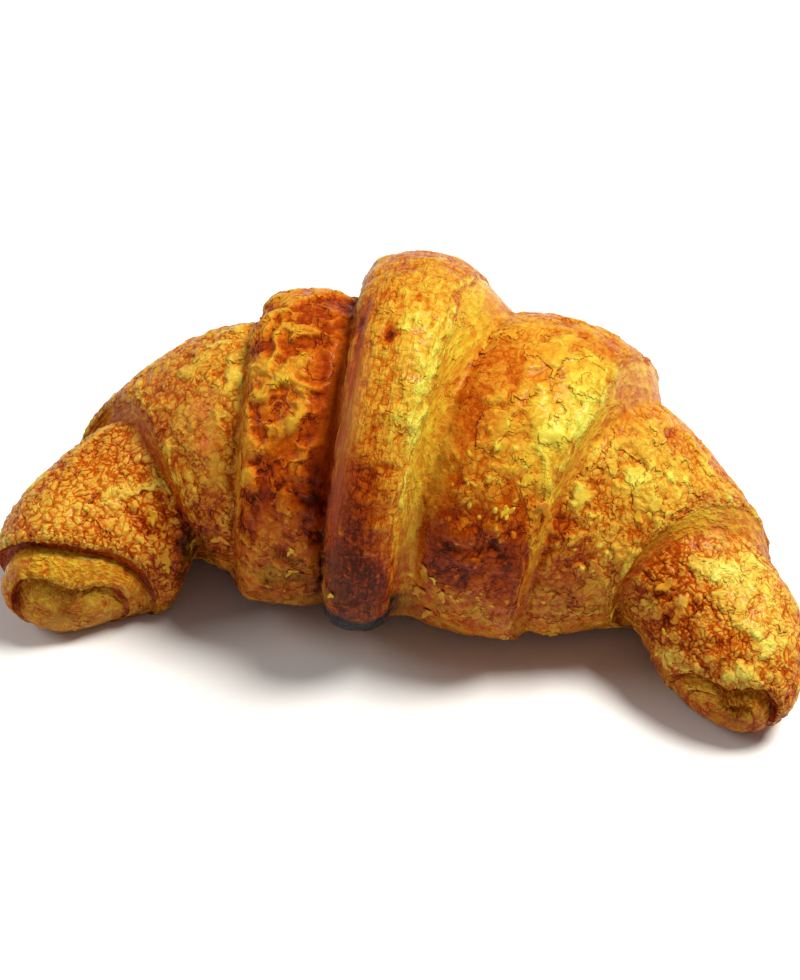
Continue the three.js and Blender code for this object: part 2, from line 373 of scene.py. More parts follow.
class Log:
    """The log of dough before its bands are laid round it."""

    def __init__(self):
        share = (1 - np.cos(np.pi * np.arange(PROFILE_STEPS + 1) / PROFILE_STEPS)) / 2
        self.s, self.full = spline(LOG_RADII, share).T
        left, right = ARMS
        length = np.where(self.s < 0, left.length, right.length)
        end_length = np.where(self.s < 0, left.end_length, right.end_length)
        into_end = np.clip(1 + (np.abs(self.s) - length) / end_length, 0, 1)
        self.radius = self.full * (1 - into_end ** END_ROUNDNESS) ** (1 / END_ROUNDNESS)
        steps = np.hypot(np.diff(self.s), np.diff(self.radius))
        along = np.concatenate([[0], np.cumsum(steps)])
        self.along = along - along[PROFILE_STEPS // 2]
        run = np.stack([np.gradient(self.s), np.gradient(self.radius)])
        run /= np.linalg.norm(run, axis=0)
        self.out_s = -run[1]
        self.out_radius = run[0]
        self.trace_spine()

    def trace_spine(self):
        """The line that the middle of the log follows, from above."""
        reach = max(arm.length for arm in ARMS) + SPINE_MARGIN
        self.spine_s = np.arange(-reach, reach + SPINE_STEP, SPINE_STEP)
        heading = self.heading((self.spine_s[1:] + self.spine_s[:-1]) / 2)
        x = np.concatenate([[0], np.cumsum(SPINE_STEP * np.cos(heading))])
        y = np.concatenate([[0], np.cumsum(SPINE_STEP * np.sin(heading))])
        self.spine_x = x - np.interp(0, self.spine_s, x)
        self.spine_y = y - np.interp(0, self.spine_s, y)

    def heading(self, s):
        """Which way the spine runs, in radians."""
        turned = np.zeros_like(s)
        for arm in ARMS:
            share = np.clip(s * arm.side / arm.length, 0, 1)
            turned -= arm.side * math.radians(arm.turn) * share ** arm.lateness
        return turned

    def point(self, along, angle, offset):
        """Points of the crust, raised by an offset, in millimetres."""
        radius = np.interp(along, self.along, self.radius)
        full = np.interp(along, self.along, self.full)
        s = np.interp(along, self.along, self.s)
        s = s + offset * np.interp(along, self.along, self.out_s)
        facing = np.clip(np.cos(angle - math.radians(HOLLOW_ANGLE)), 0, 1) ** 2
        hollow = sum(h.depth * np.exp(-((along - h.at) / h.reach) ** 2) for h in HOLLOWS)
        raised = radius + offset * np.interp(along, self.along, self.out_radius)
        raised = np.maximum(raised - hollow * facing, 0)
        centre = SECTION_DEPTH * (radius + END_LIFT * (full - radius)) - FOOT_FLATTENING
        inward = np.cos(angle) * SECTION_WIDTH * raised
        sine = np.sin(angle)
        under = -np.abs(sine) ** FOOT_FULLNESS * SECTION_DEPTH
        up = np.where(sine > 0, sine, under) * raised
        heading = self.heading(s)
        x = np.interp(s, self.spine_s, self.spine_x) + np.sin(heading) * inward
        y = np.interp(s, self.spine_s, self.spine_y) - np.cos(heading) * inward
        return np.stack([x, y, np.maximum(centre + up, 0)], axis=-1)


def wander(angle, seed, reach):
    """A ragged line round the log, as an offset in millimetres."""
    draw = np.random.RandomState(seed)
    line = np.zeros_like(angle)
    for count in LIP_WAVES:
        height = draw.uniform(0.5, 1)
        line += height * np.sin(count * angle + draw.uniform(0, 2 * math.pi)) / count ** WAVE_FALL
    return reach * line


def flare_share(lip, angle):
    """How much of its flare a lip's wall has at an angle."""
    return np.maximum(np.cos(angle - math.radians(FLARE_ANGLE)), 0) ** 2 * (lip.flare > 0)


def lip_lines(lip, angle, index):
    """Where the foot and the crest of a lip lie, half its rise, and how much of it shows."""
    slant = lip.inner * np.cos(angle) + lip.top * np.sin(angle) + lip.bow * np.sin(2 * angle)
    foot = lip.at + slant + wander(angle, FOOT_SEED + index, lip.ragged * FOOT_RAGGEDNESS)
    width = lip.wall + lip.flare * flare_share(lip, angle)
    crest = foot - lip.low * width + wander(angle, CREST_SEED + index, lip.ragged)
    shows = smoothstep(lip.fades - FADE_WIDTH / 2, lip.fades + FADE_WIDTH / 2, np.sin(angle))
    return foot, crest, lip.rise / 2 * (RISE_UNDERNEATH + (1 - RISE_UNDERNEATH) * shows), shows


def round_off(distance, radius):
    """How far a rounded edge falls, at a distance from the edge."""
    near = np.clip(1 - distance / radius, 0, 1)
    return radius * (1 - np.sqrt(1 - near ** 2)) * EDGE_DROP


def patch_mask(table, along, angle):
    """How strong each patch of a table is at each point."""
    masks = []
    for patch in table:
        turn = (np.degrees(angle) - patch.angle + 180) % 360 - 180
        near = ((along - patch.along) / patch.length) ** 2 + (turn / patch.spread) ** 2
        masks.append(patch.strength * np.exp(-near))
    return np.array(masks)


def band_end(lip, line, side):
    """Where a band ends at a lip, how high it is there, and whether it is the upper band."""
    foot, crest, half, _ = line
    upper = lip.low != side
    return (crest, half, True) if upper else (foot, -half, False)


def crust_grid(log):
    """The crust as rings of points from tip to tip, with what each point is like."""
    turn = 2 * math.pi * np.arange(ROWS) / ROWS
    angle = turn - DENSITY * np.sin(turn - math.radians(DENSEST_ANGLE))
    lines = [lip_lines(lip, angle, i) for i, lip in enumerate(LIPS)]
    rings = {key: [] for key in ("along", "offset", *LOOKS)}

    def add(along, offset, **looks):
        rings["along"].append(along)
        rings["offset"].append(offset)
        for key in LOOKS:
            rings[key].append(np.broadcast_to(looks.get(key, 0.0), angle.shape))

    lay = 0.0
    for i, band in enumerate(BANDS):
        left = LIPS[i - 1] if i > 0 else None
        right = LIPS[i] if i < len(LIPS) else None
        start, start_offset, start_high = np.full(ROWS, log.along[0]), np.zeros(ROWS), False
        end, end_offset, end_high = np.full(ROWS, log.along[-1]), np.zeros(ROWS), False
        if left:
            start, start_offset, start_high = band_end(left, lines[i - 1], 1)
        if right:
            end, end_offset, end_high = band_end(right, lines[i], -1)
        shares = np.linspace(0, 1, band.columns + 1)
        band_length = (end - start).mean()
        for share in shares[0 if left else 1:None if right else -1]:
            along = start + (end - start) * share
            offset = start_offset + (end_offset - start_offset) * share
            offset = offset + band.bulge * (1 - abs(2 * share - 1) ** band.fullness) + band.proud
            lay = lay + (band_length / band.columns if share else 0)
            streaks = band.streaks
            sides = ((left, lines[i - 1], start_high, along - start),
                     (right, lines[i % len(lines)], end_high, end - along))
            for lip, line, high, distance in sides:
                if lip and high:
                    curl = lip.curl * (1 - FLARED_CURL * flare_share(lip, angle))
                    offset = offset - round_off(distance, curl) * line[3]
                    streaks = np.maximum(streaks, np.exp(-(distance / RIM) ** 2) * line[3])
                elif lip:
                    offset = offset - CREASE_DEPTH * np.exp(-(distance / CREASE) ** 2) * line[3]
            add(along, offset, bake=band.bake, crackle=band.crackle, wrinkle=band.wrinkle,
                gloss=band.gloss, skin=band.skin, streaks=streaks, lay=lay)
        if right:
            add_wall(add, i, lines[i], angle, lay)
            lay += WALL_SPACING * right.columns
    return angle, {key: np.array(value) for key, value in rings.items()}


def add_wall(add, index, line, angle, lay):
    """The wall of thin layers between a lip's crest and its foot."""
    lip = LIPS[index]
    foot, crest, half, shows = line
    low_band, high_band = BANDS[index], BANDS[index + 1]
    if lip.low > 0:
        low_band, high_band = high_band, low_band
    flare = flare_share(lip, angle)
    crest_offset = half + high_band.proud - EDGE_DROP * lip.curl * (1 - FLARED_CURL * flare) * shows
    foot_offset = -half + low_band.proud - CREASE_DEPTH * shows
    roundness = WALL_ROUNDNESS + (FLARED_ROUNDNESS - WALL_ROUNDNESS) * flare
    uneven = 1 + wander(angle, LAYER_SEED + index, LAYER_RAGGEDNESS)
    shares = (np.arange(lip.columns) + 1) / (lip.columns + 1)
    if lip.low < 0:
        shares = shares[::-1]
    for share in shares:
        down = 1 - (1 - share) ** roundness
        arch = math.sin(math.pi * share)
        steps = LAYER_STEP * np.sin(2 * math.pi * lip.layers * share + 2 * uneven) * uneven
        along = crest + (foot - crest) * share - lip.low * arch * lip.undercut * shows * (1 - flare)
        offset = crest_offset + (foot_offset - crest_offset) * down + steps * arch
        lay += WALL_SPACING
        add(along, offset, wall=min(1, WALL_FULLNESS * arch) * shows, streaks=WALL_STREAKS * shows,
            gloss=WALL_GLOSS, bake=lip.bake + WALL_SHADE * (share - 0.5), lay=lay)


def grid_mesh(name, points):
    """A closed mesh from rings of points, with a fan of facets at each tip."""
    columns, rows = points.shape[:2]
    tips = points[[0, -1]].mean(axis=1)
    corners = np.concatenate([points.reshape(-1, 3), tips])
    here = np.arange((columns - 1) * rows).reshape(columns - 1, rows)
    beside = np.roll(here, -1, axis=1)
    quads = np.stack([here, here + rows, beside + rows, beside], axis=-1).reshape(-1, 4)
    row = np.arange(rows)
    next_row = np.roll(row, -1)
    left_tip = np.stack([np.full(rows, columns * rows), row, next_row], axis=-1)
    last = (columns - 1) * rows
    right_tip = np.stack([np.full(rows, columns * rows + 1), last + next_row, last + row], axis=-1)
    faces = quads.tolist() + left_tip.tolist() + right_tip.tolist()
    mesh = bpy.data.meshes.new(name)
    mesh.from_pydata((corners * MM).tolist(), [], faces)
    mesh.shade_smooth()
    return mesh


def store(mesh, name, values):
    """Keeps a number or a vector for each point of the rings, and their mean at the two tips."""
    flat = values.reshape(values.shape[0] * values.shape[1], -1)
    flat = np.concatenate([flat, values[[0, -1]].mean(axis=1).reshape(2, -1)]).astype(np.float32)
    kind, key = ("FLOAT_VECTOR", "vector") if flat.shape[1] == 3 else ("FLOAT", "value")
    mesh.attributes.new(name, kind, "POINT").data.foreach_set(key, flat.ravel())


def link_object(name, mesh):
    """Puts a new object with the given data in the scene."""
    made = bpy.data.objects.new(name, mesh)
    bpy.context.scene.collection.objects.link(made)
    return made


def build_crust_mesh():
    """The crust before its relief, with its masks kept on its points."""
    log = Log()
    angle, rings = crust_grid(log)
    angles = np.broadcast_to(angle, rings["along"].shape)

    def strongest(table):
        return patch_mask(table, rings["along"], angles).max(axis=0)

    def total(table):
        return patch_mask(table, rings["along"], angles).sum(axis=0)

    dents = total(DENTS)
    points = log.point(rings["along"], angles, rings["offset"] + dents)
    low, high = (np.array(corner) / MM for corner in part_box(NODE))
    middle = (points.min(axis=(0, 1)) + points.max(axis=(0, 1))) / 2
    points[..., :2] += (low + high)[:2] / 2 - middle[:2]
    mesh = grid_mesh("crust", points)
    olive = strongest(OLIVE_PATCHES)
    under = smoothstep(0.1, 0.7, -np.sin(angles))
    flank = smoothstep(0.45, -0.35, np.sin(angles))
    rough = 1 - strongest(SMOOTH_PATCHES)
    # These patches hold painted highlight and painted shade beside the real browning
    baked = total(BAKED_AND_LIT_PATCHES)
    bake = rings["bake"] + baked + (total(WALL_BAKING) - 0.8 * baked) * rings["wall"]
    # Painted shade: the lower flanks are painted browner
    bake = np.minimum(bake + FLANK_PAINTED_SHADE * flank, DARKEST)
    round_log = STREAK_LENGTH * np.stack([np.cos(angles), np.sin(angles)], axis=-1)
    masks = {
        "wall": rings["wall"],
        "streaks": rings["streaks"],
        "lay": np.concatenate([rings["lay"][..., None], round_log], axis=-1),
        "rough": rough,
        "beads": strongest(BEAD_PATCHES),
        "flaky": strongest(FLAKE_PATCHES),
        # Painted shadow: blue-black under the end of the middle band, over its darkly baked foot
        "burnt_foot_shadow": strongest(BURNT_FOOT_SHADOW_PATCHES),
        # Painted reflection: where the purple sheen of a soft light is painted
        "painted_sheen": strongest(PAINTED_SHEEN_PATCHES),
        "skin": np.maximum(rings["skin"], strongest(PLATES)),
        # Painted shade: the cracks and holes are painted browner
        "bake": bake - DENT_PAINTED_SHADE * np.minimum(dents, 0),
        "olive": np.maximum(olive, 0.6 * under),
        "crackle": rings["crackle"] * (1 - 0.3 * olive) * (1 - 0.4 * under) * rough,
        "wrinkle": rings["wrinkle"] * (1 - 0.1 * olive) * (1 - 0.4 * under) * rough,
        "gloss": np.maximum(rings["gloss"], olive),
    }
    for name, values in masks.items():
        store(mesh, name, values)
    return mesh


class Tree:
    """A short way to write a node tree, for the relief of the mesh and for its materials."""

    def __init__(self, tree):
        self.tree = tree

    def add(self, kind, values=None, **settings):
        node = self.tree.nodes.new(kind)
        for key, value in settings.items():
            setattr(node, key, value)
        for key, value in (values or {}).items():
            self.join(value, node.inputs[key])
        return node

    def join(self, value, socket):
        if isinstance(value, bpy.types.NodeSocket):
            self.tree.links.new(value, socket)
        else:
            socket.default_value = value

    def math(self, operation, first, second=0.0, third=0.0):
        values = {0: first, 1: second, 2: third}
        return self.add("ShaderNodeMath", values, operation=operation).outputs[0]

    def sum_up(self, total, parts):
        """Adds parts to a total, each by its weight."""
        for part, weight in parts:
            total = self.math("MULTIPLY_ADD", part, weight, total)
        return total

    def vector(self, operation, first, second):
        return self.add("ShaderNodeVectorMath", {0: first, 1: second}, operation=operation).outputs[0]

    def scale(self, vector, factor):
        node = self.add("ShaderNodeVectorMath", {0: vector, "Scale": factor}, operation="SCALE")
        return node.outputs[0]

    def ramp(self, value, low, high, to_low=0.0, to_high=1.0):
        values = {"Value": value, "From Min": low, "From Max": high, "To Min": to_low, "To Max": to_high}
        node = self.add("ShaderNodeMapRange", values, interpolation_type="SMOOTHSTEP")
        return node.outputs["Result"]

    def mix(self, factor, first, second):
        node = self.add("ShaderNodeMix", data_type="RGBA")
        self.join(factor, node.inputs[0])
        self.join(first, node.inputs[6])
        self.join(second, node.inputs[7])
        return node.outputs[2]

    def noise(self, vector, scale, detail=2.0, roughness=0.5, output="Fac"):
        values = {"Vector": vector, "Scale": scale, "Detail": detail, "Roughness": roughness}
        return self.add("ShaderNodeTexNoise", values).outputs[output]

    def cracks(self, vector, scale):
        values = {"Vector": vector, "Scale": scale}
        node = self.add("ShaderNodeTexVoronoi", values, feature="DISTANCE_TO_EDGE")
        return node.outputs["Distance"]


def bend(tree, place, scale, reach):
    """Moves the places of a pattern to and fro, so that it has no even shapes."""
    shift = tree.vector("SUBTRACT", tree.noise(place, scale, 2, 0.6, "Color"), (0.5, 0.5, 0.5))
    return tree.vector("ADD", place, tree.scale(shift, reach))


def island_heights(tree, place, size, widths):
    """The crackle: islands of crust, 1 on top and 0 in the cracks, for each width of crack."""
    bent = bend(tree, bend(tree, place, scale=240, reach=0.005), scale=700, reach=0.0014)
    per_metre = tree.math("DIVIDE", 1.0, size)
    coarse = tree.cracks(bent, per_metre)
    fine = tree.cracks(bent, tree.math("MULTIPLY", per_metre, 1.9))
    coarse_healed = tree.ramp(tree.noise(bent, scale=150), 0.55, 0.64)
    fine_healed = tree.ramp(tree.noise(place, scale=260), 0.5, 0.6)
    heights = []
    for width in widths:
        large = tree.math("MAXIMUM", tree.ramp(coarse, 0.0, width), coarse_healed)
        small = tree.math("MAXIMUM", tree.ramp(fine, 0.0, width), fine_healed)
        heights.append(tree.math("MULTIPLY", large, tree.math("MULTIPLY_ADD", small, 0.5, 0.5)))
    return heights


def thin_cracks(tree, place, width):
    """Thin cracks that wander over the crust: 0 in a crack and 1 beside it."""
    wave = tree.noise(bend(tree, place, scale=500, reach=0.003), scale=190)
    away = tree.math("ABSOLUTE", tree.math("SUBTRACT", wave, 0.5))
    return tree.ramp(away, 0.0, width)


def bead_height(tree, place):
    """Small round beads of crust, 1 on top and 0 between them."""
    values = {"Vector": bend(tree, place, scale=400, reach=0.002), "Scale": 480.0}
    node = tree.add("ShaderNodeTexVoronoi", values, feature="F1")
    some = tree.ramp(tree.noise(place, scale=350, detail=1), 0.36, 0.52)
    return tree.math("MULTIPLY", tree.ramp(node.outputs["Distance"], 0.12, 0.4, 1.0, 0.0), some)


def wrinkle_height(tree, place, size):
    """Folds of thin skin: 1 on their ridges and 0 between them."""
    bent = bend(tree, place, scale=120, reach=0.009)
    wave = tree.noise(bent, tree.math("DIVIDE", 1.0, size), 3, 0.55)
    fold = tree.math("ABSOLUTE", tree.math("MULTIPLY_ADD", wave, 2.0, -1.0))
    return tree.ramp(fold, 0.0, 0.26, 1.0, 0.0)


def skin_height(tree, place, cover):
    """Torn edges of a thin skin that lies on the crust: 1 on the skin and 0 beside it."""
    ragged = tree.noise(bend(tree, place, scale=300, reach=0.004), 190, 3, 0.55)
    spread = tree.math("MULTIPLY_ADD", cover, 0.45, ragged)
    return tree.ramp(spread, 0.655, 0.695)


def blister_height(tree, place, size):
    """Smooth bubbles under the skin, 1 on top and 0 between them."""
    bent = bend(tree, place, scale=150, reach=0.006)
    values = {"Vector": bent, "Scale": tree.math("DIVIDE", 1.0, size), "Smoothness": 0.4}
    node = tree.add("ShaderNodeTexVoronoi", values, feature="SMOOTH_F1")
    return tree.ramp(node.outputs["Distance"], 0.15, 0.55, 1.0, 0.0)


# The sizes of the relief, which its node tree and its settings share
RELIEF_SIZES = ("Crackle Height", "Crackle Size", "Wrinkle Height", "Wrinkle Size",
                "Blister Height", "Blister Size", "Skin Height", "Bead Height")


def new_tree(name, values):
    """A geometry node tree that takes a mesh and the given kinds of values, and gives a mesh."""
    group = bpy.data.node_groups.new(name, "GeometryNodeTree")
    for key, kind in {"Geometry": "Geometry", **values, "Material": "Material"}.items():
        group.interface.new_socket(key, in_out="INPUT", socket_type="NodeSocket" + kind)
    group.interface.new_socket("Geometry", in_out="OUTPUT", socket_type="NodeSocketGeometry")
    tree = Tree(group)
    return group, tree, tree.add("NodeGroupInput").outputs


def finish_tree(tree, geometry, given):
    """Ends a geometry node tree with real instances and the material."""
    whole = tree.add("GeometryNodeRealizeInstances", {"Geometry": geometry}).outputs[0]
    done = tree.add("GeometryNodeSetMaterial", {"Geometry": whole, "Material": given["Material"]})
    tree.add("NodeGroupOutput", {"Geometry": done.outputs[0]})


def named_mask(tree, name):
    """A number that the mesh keeps on its points."""
    return tree.add("GeometryNodeInputNamedAttribute", {"Name": name}, data_type="FLOAT").outputs[0]


def relief_tree():
    """Geometry nodes that raise the crackle, the wrinkles and the blisters of the crust."""
    group, tree, given = new_tree("Crust relief", dict.fromkeys(RELIEF_SIZES, "Float"))
    for item in group.interface.items_tree:
        if item.socket_type == "NodeSocketFloat":
            item.subtype = "DISTANCE"
    place = tree.add("GeometryNodeInputPosition").outputs[0]

    def raised(pattern, sunk, name, height):
        """A pattern, with a share of it sunk, as high as its mask and its height say."""
        shown = tree.math("MULTIPLY", tree.math("SUBTRACT", pattern, sunk), named_mask(tree, name))
        return tree.math("MULTIPLY", shown, given[height])

    kept = tree.add("GeometryNodeStoreNamedAttribute",
                    {"Geometry": given["Geometry"], "Name": "rest", "Value": place},
                    data_type="FLOAT_VECTOR", domain="POINT").outputs[0]
    islands, = island_heights(tree, place, given["Crackle Size"], (RELIEF_CRACK,))
    cracks = thin_cracks(tree, place, RELIEF_THIN_CRACK)
    folds = wrinkle_height(tree, place, given["Wrinkle Size"])
    blisters = blister_height(tree, place, given["Blister Size"])
    skin = skin_height(tree, place, named_mask(tree, "skin"))
    parts = (
        raised(islands, SUNK_ISLANDS, "crackle", "Crackle Height"),
        raised(cracks, SUNK_CRACKS, "crackle", "Crackle Height"),
        raised(folds, SUNK_FOLDS, "wrinkle", "Wrinkle Height"),
        raised(blisters, SUNK_BLISTERS, "gloss", "Blister Height"),
        raised(skin, 0.0, "rough", "Skin Height"),
        raised(bead_height(tree, place), 0.0, "beads", "Bead Height"),
    )
    relief = tree.sum_up(0.0, [(part, 1.0) for part in parts])
    relief = tree.math("MULTIPLY", relief, tree.math("SUBTRACT", 1.0, named_mask(tree, "wall")))
    height = tree.add("ShaderNodeSeparateXYZ", {0: place}).outputs["Z"]
    relief = tree.math("MULTIPLY", relief, tree.math("GREATER_THAN", height, FLAT_FOOT))
    normal = tree.add("GeometryNodeInputNormal").outputs[0]
    moved = tree.add("GeometryNodeSetPosition",
                     {"Geometry": kept, "Offset": tree.scale(normal, relief)}).outputs[0]
    finish_tree(tree, moved, given)
    return group


def apply_nodes(piece, group, values):
    """Runs a geometry node tree on a piece and keeps its result as a plain mesh."""
    modifier = piece.modifiers.new(group.name, "NODES")
    modifier.node_group = group
    for item in group.interface.items_tree:
        if item.in_out == "INPUT" and item.name in values:
            modifier[item.identifier] = values[item.name]
    graph = bpy.context.evaluated_depsgraph_get()
    made = bpy.data.meshes.new_from_object(piece.evaluated_get(graph), preserve_all_data_layers=True,
                                           depsgraph=graph)
    piece.modifiers.remove(modifier)
    plain = piece.data
    piece.data = made
    bpy.data.meshes.remove(plain)


def browning_group(settings):
    """A shader node group that turns how far the crust is baked into its colour."""
    group = bpy.data.node_groups.new("Browning", "ShaderNodeTree")
    group.interface.new_socket("Bake", in_out="INPUT", socket_type="NodeSocketFloat")
    group.interface.new_socket("Color", in_out="OUTPUT", socket_type="NodeSocketColor")
    tree = Tree(group)
    given = tree.add("NodeGroupInput").outputs
    shading = tree.add("ShaderNodeValToRGB", {"Fac": given["Bake"]})
    shades = (settings.pale, settings.yellow, settings.gold,
              settings.amber, settings.red_brown, settings.char)
    ramp = shading.color_ramp
    while len(ramp.elements) < len(shades):
        ramp.elements.new(0.5)
    for i, (element, shade) in enumerate(zip(ramp.elements, shades)):
        element.position = i / (len(shades) - 1)
        element.color = (*shade, 1)
    tree.add("NodeGroupOutput", {"Color": shading.outputs["Color"]})
    return group


def browning(tree, bake, settings):
    """The colour of the crust where it is baked so far."""
    group = bpy.data.node_groups.get("Browning") or browning_group(settings)
    return tree.add("ShaderNodeGroup", node_tree=group, values={"Bake": bake}).outputs["Color"]


def empty_material(name):
    """A material without nodes, and its node tree."""
    material = bpy.data.materials.new(name)
    material.use_nodes = True
    material.node_tree.nodes.clear()
    return material, Tree(material.node_tree)


def crust_material(settings):
    """Egg-washed crust: golden islands over red-brown cracks, with layered walls."""
    material, tree = empty_material("egg-washed crust")

    def attribute(name, output):
        return tree.add("ShaderNodeAttribute", attribute_name=name).outputs[output]

    def mask(name):
        return attribute(name, "Fac")

    def below(level, pattern, name):
        """How far a pattern lies below a level, where its mask shows."""
        return tree.math("MULTIPLY", tree.math("SUBTRACT", level, pattern), mask(name))

    place = attribute("rest", "Vector")
    islands, dome = island_heights(tree, place, settings.crackle_size, (COLOUR_CRACK, DOME_WIDTH))
    folds = wrinkle_height(tree, place, settings.wrinkle_size)
    skin = tree.math("MULTIPLY", skin_height(tree, place, mask("skin")), mask("rough"))
    clouds = tree.noise(place, CLOUD_SCALE, 3, 0.6)
    spots = tree.noise(place, SPOT_SCALE, 3, 0.65)
    streaks = tree.ramp(tree.noise(attribute("lay", "Vector"), 1.3, 3, 0.6), 0.36, 0.64)
    cracked = tree.sum_up(0.0, ((mask("crackle"), 0.7), (mask("rough"), 0.12), (mask("beads"), 0.6)))
    thin = tree.math("SUBTRACT", 1.0, thin_cracks(tree, place, COLOUR_THIN_CRACK))
    patterns = {
        "clouds": clouds,
        "spots": spots,
        "grain": tree.noise(place, GRAIN_SCALE, 3, 0.6),
        "islands": tree.math("MULTIPLY", dome, mask("crackle")),
        "edges": below(0.7, dome, "crackle"),
        "cracks": below(1.0, islands, "crackle"),
        "thin cracks": tree.math("MULTIPLY", thin, cracked),
        "mottling": below(0.5, spots, "gloss"),
        "folds": tree.math("MULTIPLY", folds, mask("wrinkle")),
        "between folds": below(0.6, folds, "wrinkle"),
        "grooves": below(0.5, streaks, "streaks"),
        "beads": tree.math("MULTIPLY", bead_height(tree, place), mask("beads")),
        "skin": skin,
    }
    bake = tree.math("SUBTRACT", mask("bake"), PATTERN_MEAN)
    bake = tree.sum_up(bake, [(patterns[name], weight) for name, weight in BAKE_WEIGHTS.items()])
    under_skin = tree.math("MULTIPLY", tree.math("MAXIMUM", bake, 0.0), skin)
    # Painted shade along the torn edges of the skin
    torn = tree.math("MULTIPLY", skin, tree.math("SUBTRACT", 1.0, skin))
    bake = tree.sum_up(bake, ((under_skin, SKIN_PALING), (mask("skin"), SKIN_BAKE), (torn, TORN_EDGE_SHADE)))
    colour = browning(tree, bake, settings)
    covers = (
        # Partly painted: a pale dry bloom that also paints the whitish sheen of the lighter islands
        (tree.math("POWER", mask("crackle"), 2.0), tree.ramp(bake, 0.1, 0.6, 0.13, 0.0), settings.dry_and_sheen),
        (mask("olive"), tree.ramp(spots, 0.42, 0.56, 0.0, 0.85), settings.olive_gold),
        # Painted reflection: the purple sheen of a soft light on the smooth crust
        (mask("painted_sheen"), tree.ramp(clouds, 0.35, 0.6, 0.3, 0.75), settings.painted_sheen_purple),
        # Painted shadow: blue-black under the end of the middle band, over its darkly baked foot
        (mask("burnt_foot_shadow"), 1.0, settings.burnt_foot_shadow),
    )
    for place_mask, share, shade in covers:
        colour = tree.mix(tree.math("MULTIPLY", place_mask, share), colour, (*shade, 1))
    rough = tree.math("MULTIPLY_ADD", mask("gloss"), -0.06, tree.ramp(spots, 0.3, 0.7, 0.24, 0.4))
    fine = tree.sum_up(0.0, [(patterns[name], weight) for name, weight in BUMP_WEIGHTS.items()])
    bump = tree.add("ShaderNodeBump",
                    {"Height": fine, "Strength": BUMP_STRENGTH, "Distance": BUMP_HEIGHT})
    surface = tree.add("ShaderNodeBsdfPrincipled", {
        "Base Color": colour, "Roughness": rough, "Normal": bump.outputs[0],
        "Specular IOR Level": 0.07, "Specular Tint": (*settings.shine, 1),
        "Coat Weight": 0.06, "Coat Roughness": 0.1,
    })
    tree.add("ShaderNodeOutputMaterial", {"Surface": surface.outputs[0]})
    return material


# The shape of a loose flake: a leaf with curled edges, in millimetres
FLAKE_LENGTH = 1.7
FLAKE_WIDTH = 1.15
FLAKE_THICKNESS = 0.12
FLAKE_CURL = 0.32
FLAKE_STEPS = 7

# How the flakes differ: their tilt and their turn in radians, their size and how far they are baked
FLAKE_TILT = 0.1
FULL_TURN = 6.283
FLAKE_SIZES = (0.35, 1.1)
FLAKE_SHADES = (0.1, 0.45)


def flake_mesh():
    """A thin leaf with curled edges, closed along its rim."""
    steps = np.linspace(-1, 1, FLAKE_STEPS)
    u, v = (grid.ravel() for grid in np.meshgrid(steps, steps, indexing="ij"))
    x = u * np.sqrt(1 - v ** 2 / 2)
    y = v * np.sqrt(1 - u ** 2 / 2)
    turn = np.arctan2(y, x)
    ragged = 1 + 0.2 * np.sin(2 * turn + 0.6) + 0.22 * np.sin(3 * turn + 2) + 0.18 * np.sin(5 * turn)
    x, y = x * ragged, y * ragged
    lift = FLAKE_CURL * (x ** 2 + 0.6 * x * y + 0.3 * np.sin(2.5 * x + 3 * y))
    thin = FLAKE_THICKNESS * (1 - np.maximum(np.abs(u), np.abs(v)) ** 4)
    top = np.stack([x * FLAKE_LENGTH, y * FLAKE_WIDTH, lift + thin], axis=-1)
    bottom = np.stack([x * FLAKE_LENGTH, y * FLAKE_WIDTH, lift], axis=-1)
    rim = np.maximum(np.abs(u), np.abs(v)) == 1
    count = len(top)
    under = np.where(rim, np.arange(count), 0)
    under[~rim] = count + np.arange((~rim).sum())
    corners = np.concatenate([top, bottom[~rim]]) * MM
    faces = []
    for i in range(FLAKE_STEPS - 1):
        for j in range(FLAKE_STEPS - 1):
            here = i * FLAKE_STEPS + j
            ring = [here, here + FLAKE_STEPS, here + FLAKE_STEPS + 1, here + 1]
            faces.append(ring)
            faces.append([int(under[k]) for k in reversed(ring)])
    mesh = bpy.data.meshes.new("flake")
    mesh.from_pydata(corners.tolist(), [], faces)
    mesh.shade_smooth()
    return mesh


def flake_tree():
    """Geometry nodes that scatter loose flakes over the flaky places of the crust."""
    values = {"Flake": "Object", "Flakes per Square Metre": "Float", "Seed": "Int"}
    group, tree, given = new_tree("Loose flakes", values)
    seed = given["Seed"]
    density = tree.math("MULTIPLY", named_mask(tree, "flaky"), given["Flakes per Square Metre"])
    spread = tree.add("GeometryNodeDistributePointsOnFaces",
                      {"Mesh": given["Geometry"], "Density": density, "Seed": seed})
    least = (-FLAKE_TILT, -FLAKE_TILT, 0.0)
    most = (FLAKE_TILT, FLAKE_TILT, FULL_TURN)
    turn = tree.add("FunctionNodeRandomValue", {0: least, 1: most, "Seed": seed},
                    data_type="FLOAT_VECTOR")
    turn = tree.add("FunctionNodeEulerToRotation", {0: turn.outputs[0]})
    facing = tree.add("FunctionNodeRotateRotation", {0: spread.outputs["Rotation"], 1: turn.outputs[0]},
                      rotation_space="LOCAL")

    def chance(limits):
        values = {2: limits[0], 3: limits[1], "Seed": seed}
        return tree.add("FunctionNodeRandomValue", values, data_type="FLOAT").outputs[1]

    leaf = tree.add("GeometryNodeObjectInfo", {"Object": given["Flake"]})
    leaves = tree.add("GeometryNodeInstanceOnPoints", {
        "Points": spread.outputs["Points"], "Instance": leaf.outputs["Geometry"],
        "Rotation": facing.outputs[0], "Scale": chance(FLAKE_SIZES),
    })
    kept = tree.add("GeometryNodeStoreNamedAttribute",
                    {"Geometry": leaves.outputs[0], "Name": "shade", "Value": chance(FLAKE_SHADES)},
                    data_type="FLOAT", domain="INSTANCE")
    finish_tree(tree, kept.outputs[0], given)
    return group


